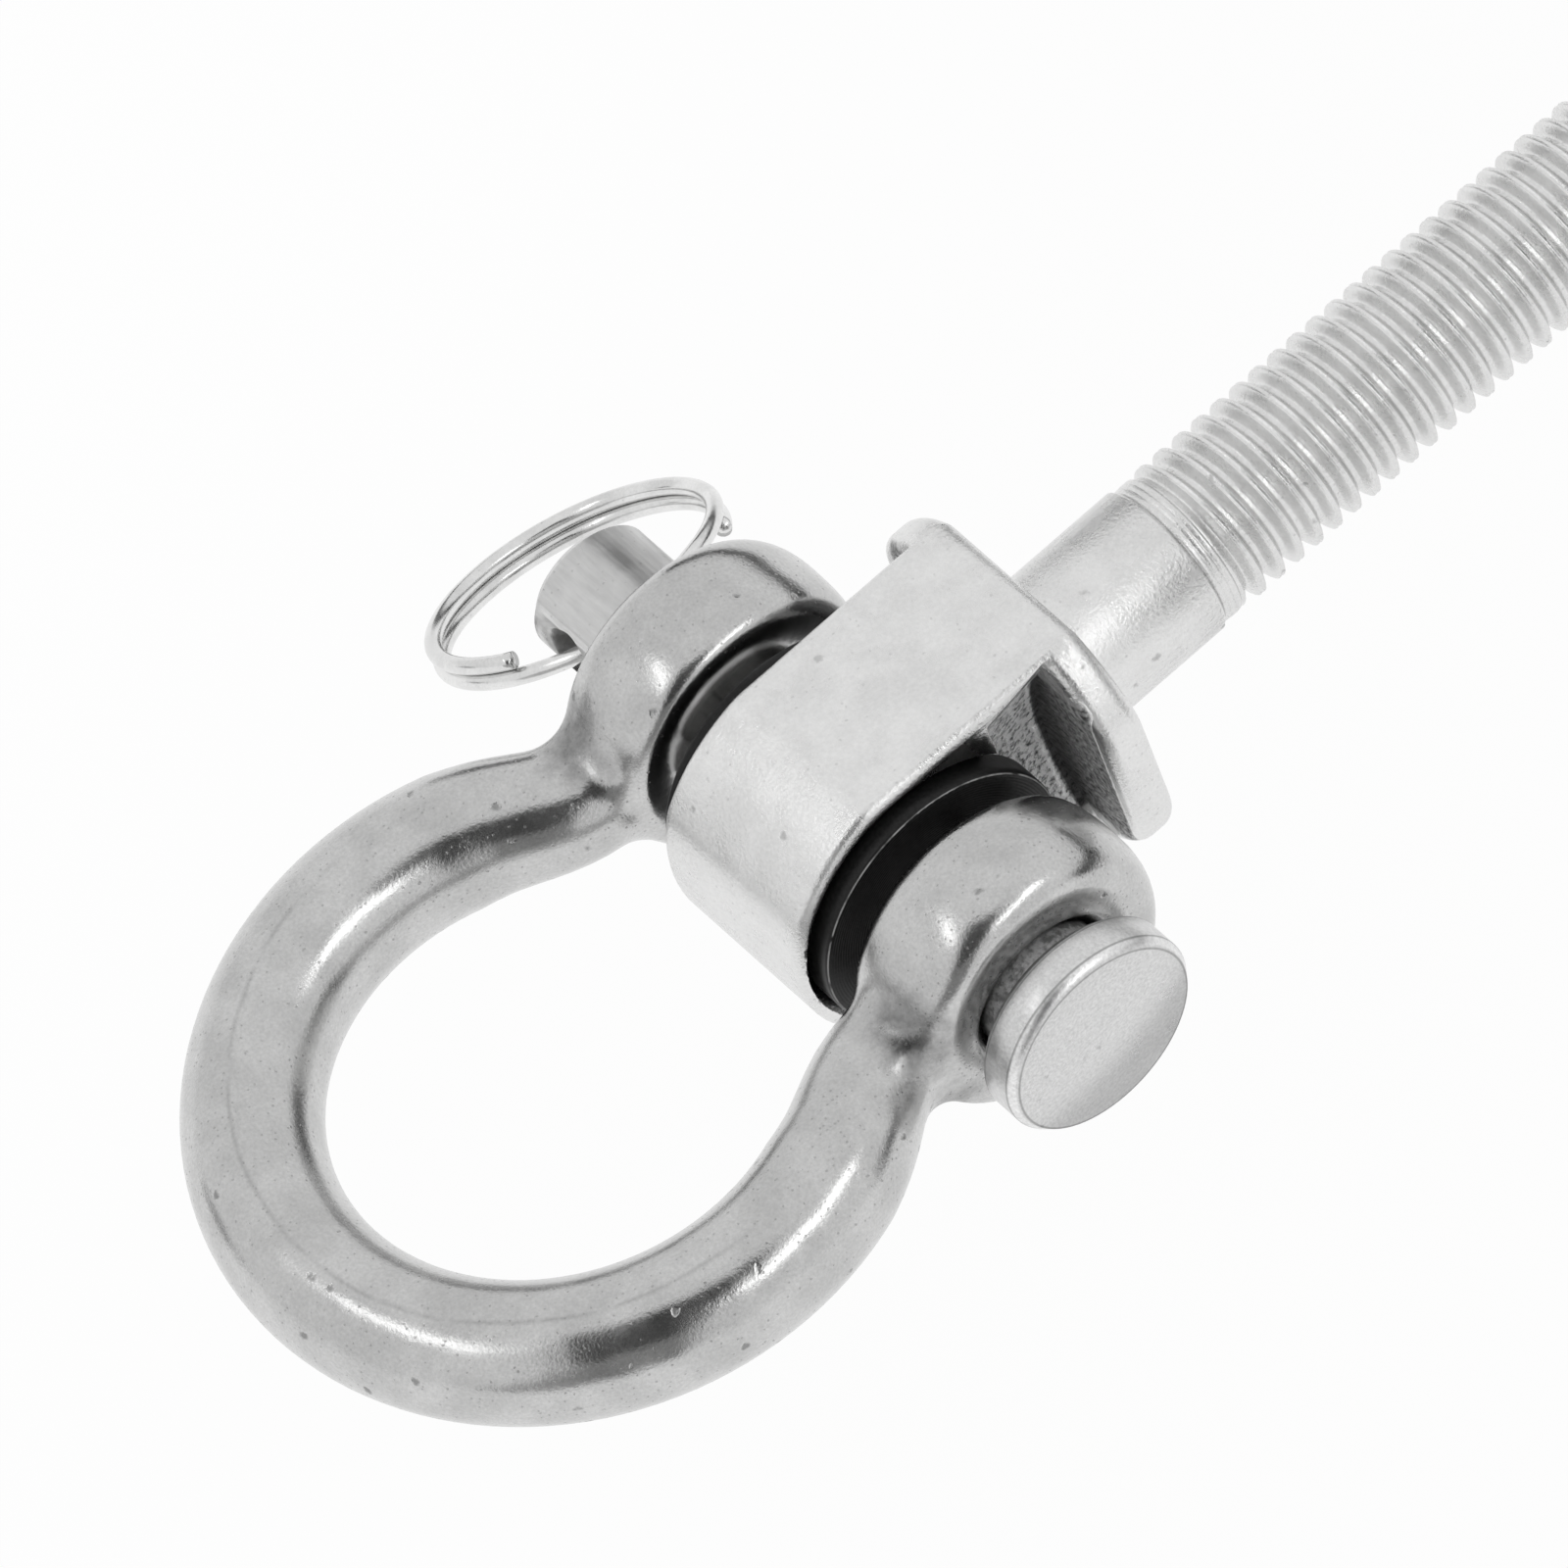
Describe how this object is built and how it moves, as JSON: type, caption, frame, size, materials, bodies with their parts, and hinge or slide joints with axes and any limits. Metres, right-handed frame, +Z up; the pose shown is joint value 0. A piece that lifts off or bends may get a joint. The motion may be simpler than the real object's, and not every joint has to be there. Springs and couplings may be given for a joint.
{
  "type": "swivel ceiling hook",
  "caption": "Ceiling hanger: a threaded shank with a cast tongue and flange, bushed for a bow shackle that swings on a headed pin kept by a split ring.",
  "frame": {"origin": "centre of the flange's top face, where the shank's axis meets the ceiling", "axes": "+Z up the threaded shank, +X along the shackle pin towards its head, +Y towards the back so that the pin's cross hole leans a little"},
  "size_m": [0.0687, 0.0245, 0.1701],
  "materials": {
    "cast_stainless": "tumbled satin, cast grain left in the pockets, bright rolled thread",
    "forged_stainless": "tumbled satin with fine pits",
    "turned_stainless": "tumbled satin",
    "spring_wire": "bright drawn wire",
    "black_plastic": "turned black plastic with a low sheen"
  },
  "bodies": {
    "hanger": {"hanger_body": "cast_stainless", "head_side_bush": "black_plastic", "ring_side_bush": "black_plastic"},
    "shackle": {"bow_shackle": "forged_stainless"},
    "pin": {"shackle_pin": "turned_stainless"},
    "ring": {"split_ring": "spring_wire"}
  },
  "joints": [
    {"name": "shackle_swing", "type": "hinge", "parent": "hanger", "child": "shackle", "pos_m": [0, 0, -0.017], "axis": [1, 0, 0], "range_deg": [-104, 104]},
    {"name": "pin_spin", "type": "hinge", "parent": "shackle", "child": "pin", "pos_m": [0, 0, -0.017], "axis": [1, 0, 0], "continuous": true},
    {"name": "ring_swing", "type": "hinge", "parent": "pin", "child": "ring", "pos_m": [-0.0252, 0, -0.017], "axis": [0, 0.1392, 0.9903], "range_deg": [-40, 108]}
  ]
}
